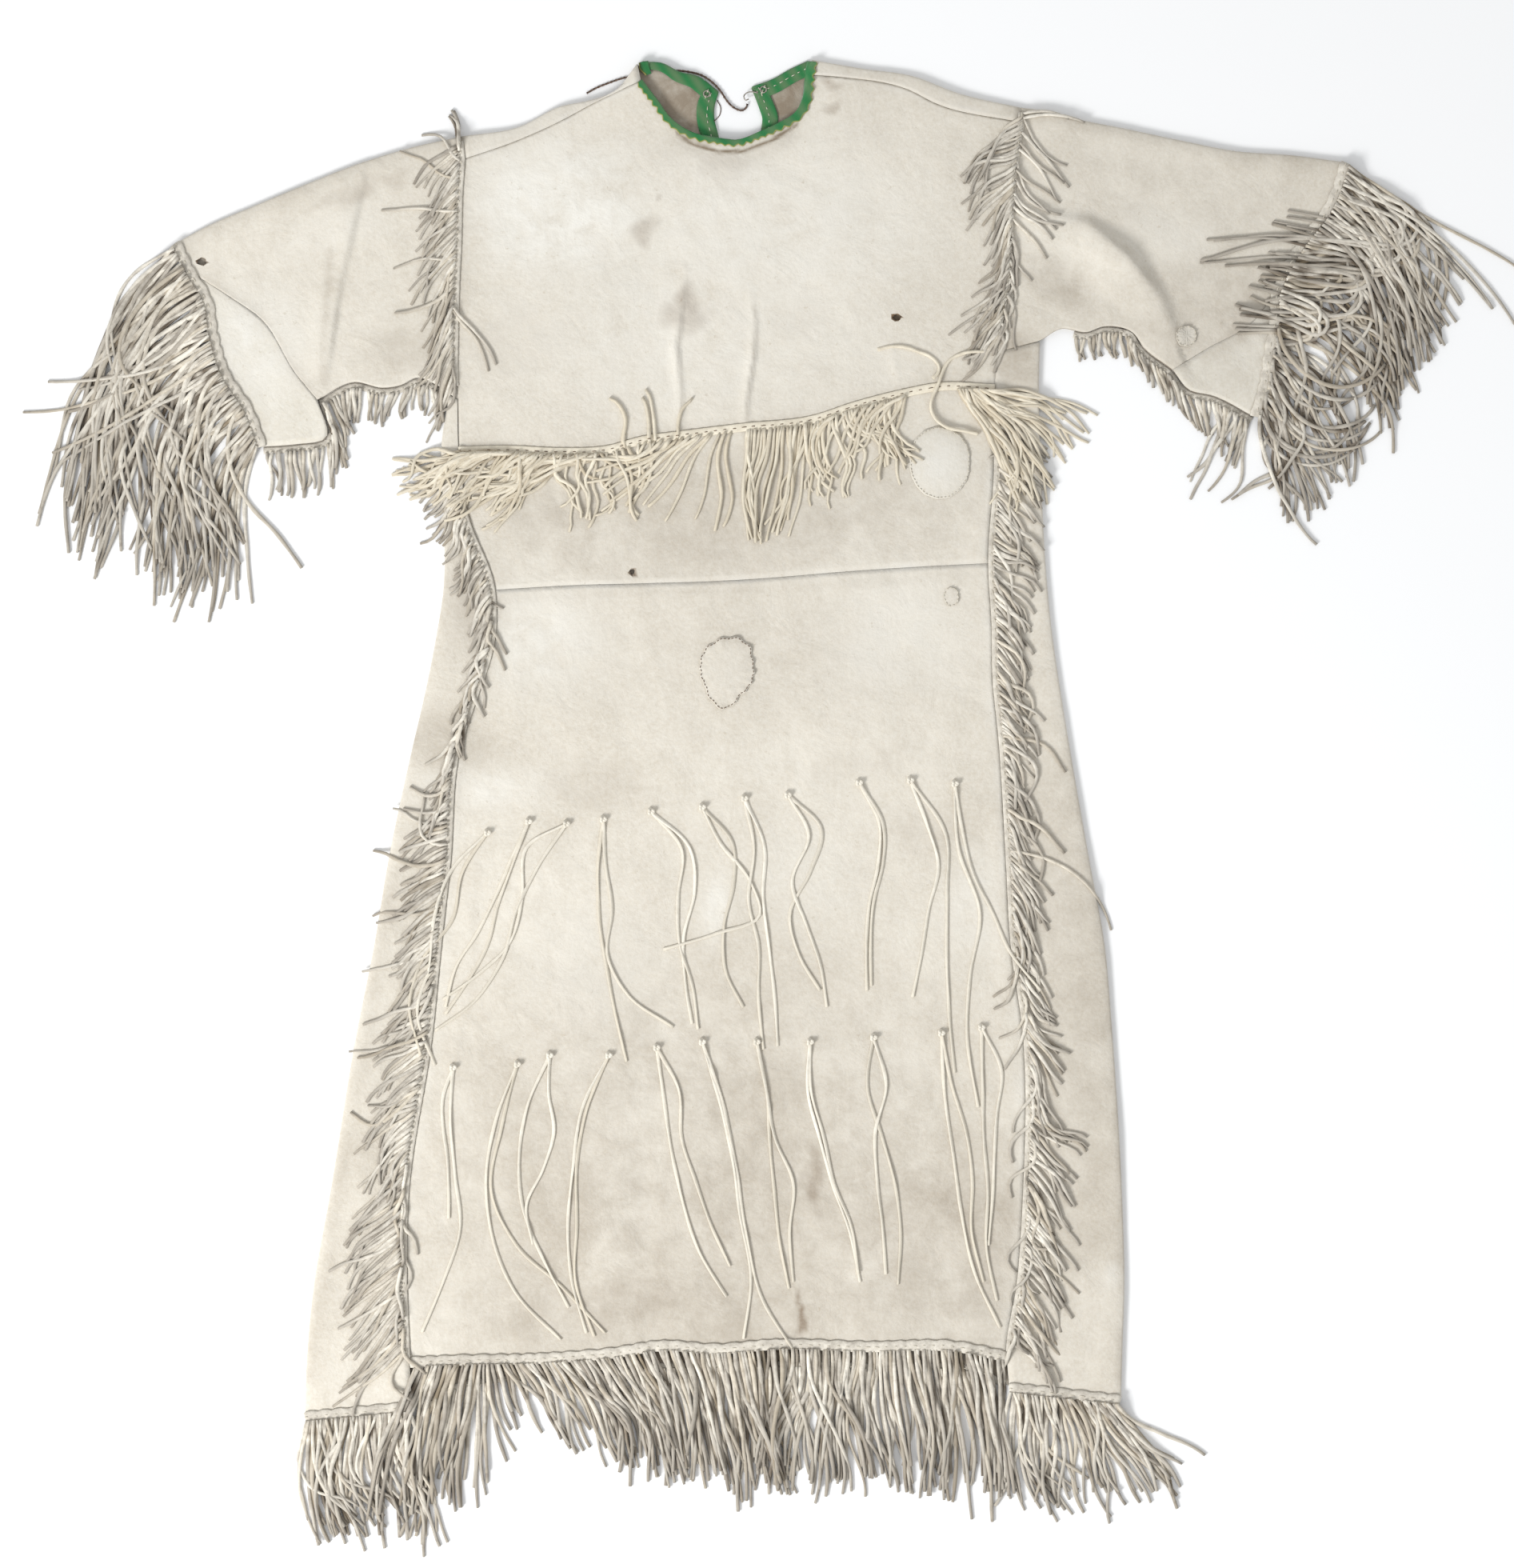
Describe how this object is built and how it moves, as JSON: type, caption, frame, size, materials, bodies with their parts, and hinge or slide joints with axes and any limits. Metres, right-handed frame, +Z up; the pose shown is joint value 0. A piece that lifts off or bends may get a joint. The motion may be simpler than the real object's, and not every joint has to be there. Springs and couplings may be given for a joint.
{
  "type": "buckskin dress",
  "caption": "Long-sleeved hide dress laid flat, front up, with a bound round neck, back slit, side gores and strand fringes at cuffs, armholes, waist, sides and hem.",
  "frame": {"origin": "a point on the flat underside of the back skirt, 0.64 m below the back neckline and 7 mm right of the middle of the front hem", "axes": "+Z up from the surface that the dress lies on, +Y from hem to neck, +X towards the sleeve on the right as the front is seen"},
  "size_m": [1.3219, 1.3468, 0.012],
  "materials": {
    "hide": "matt suede",
    "pale_hide": "matt suede",
    "fringe_hide": "matt suede",
    "cream_hide": "matt suede",
    "binding": "plain woven cloth with a white running stitch",
    "string": "twisted cord",
    "wire": "dull wire"
  },
  "bodies": {
    "root": {"back_bodice": "hide", "back_skirt": "hide", "front_bodice": "hide", "skirt_upper": "hide", "skirt_lower": "hide", "gore_left": "hide", "gore_right": "hide", "sleeve_left": "hide", "sleeve_right": "hide", "patch_sleeve": "hide", "sleeve_left_corner": "pale_hide", "sleeve_right_corner": "pale_hide", "patch_waist": "pale_hide", "patch_skirt": "pale_hide", "patch_small": "pale_hide", "hem_fringe_back": "fringe_hide", "hem_fringe_left": "fringe_hide", "hem_fringe_right": "fringe_hide", "hem_fringe_front": "fringe_hide", "underarm_fringe_left": "fringe_hide", "underarm_fringe_right": "fringe_hide", "cuff_fringe_left": "fringe_hide", "cuff_fringe_right": "fringe_hide", "side_fringe_left": "fringe_hide", "side_fringe_right": "fringe_hide", "armhole_fringe_left": "fringe_hide", "armhole_fringe_right": "fringe_hide", "waist_fringe": "cream_hide", "waist_tie_left": "cream_hide", "waist_tie_right": "cream_hide", "thongs_upper_1": "cream_hide", "thongs_upper_2": "cream_hide", "thongs_upper_3": "cream_hide", "thongs_upper_4": "cream_hide", "thongs_upper_5": "cream_hide", "thongs_upper_6": "cream_hide", "thongs_upper_7": "cream_hide", "thongs_upper_8": "cream_hide", "thongs_upper_9": "cream_hide", "thongs_upper_10": "cream_hide", "thongs_upper_11": "cream_hide", "thongs_lower_1": "cream_hide", "thongs_lower_2": "cream_hide", "thongs_lower_3": "cream_hide", "thongs_lower_4": "cream_hide", "thongs_lower_5": "cream_hide", "thongs_lower_6": "cream_hide", "thongs_lower_7": "cream_hide", "thongs_lower_8": "cream_hide", "thongs_lower_9": "cream_hide", "thongs_lower_10": "cream_hide", "thongs_lower_11": "cream_hide", "neck_binding_back_left": "binding", "neck_binding_back_right": "binding", "neck_binding_front": "binding", "neck_string": "string", "neck_eye_left": "wire", "neck_eye_right": "wire", "neck_hook": "wire"}
  },
  "joints": []
}
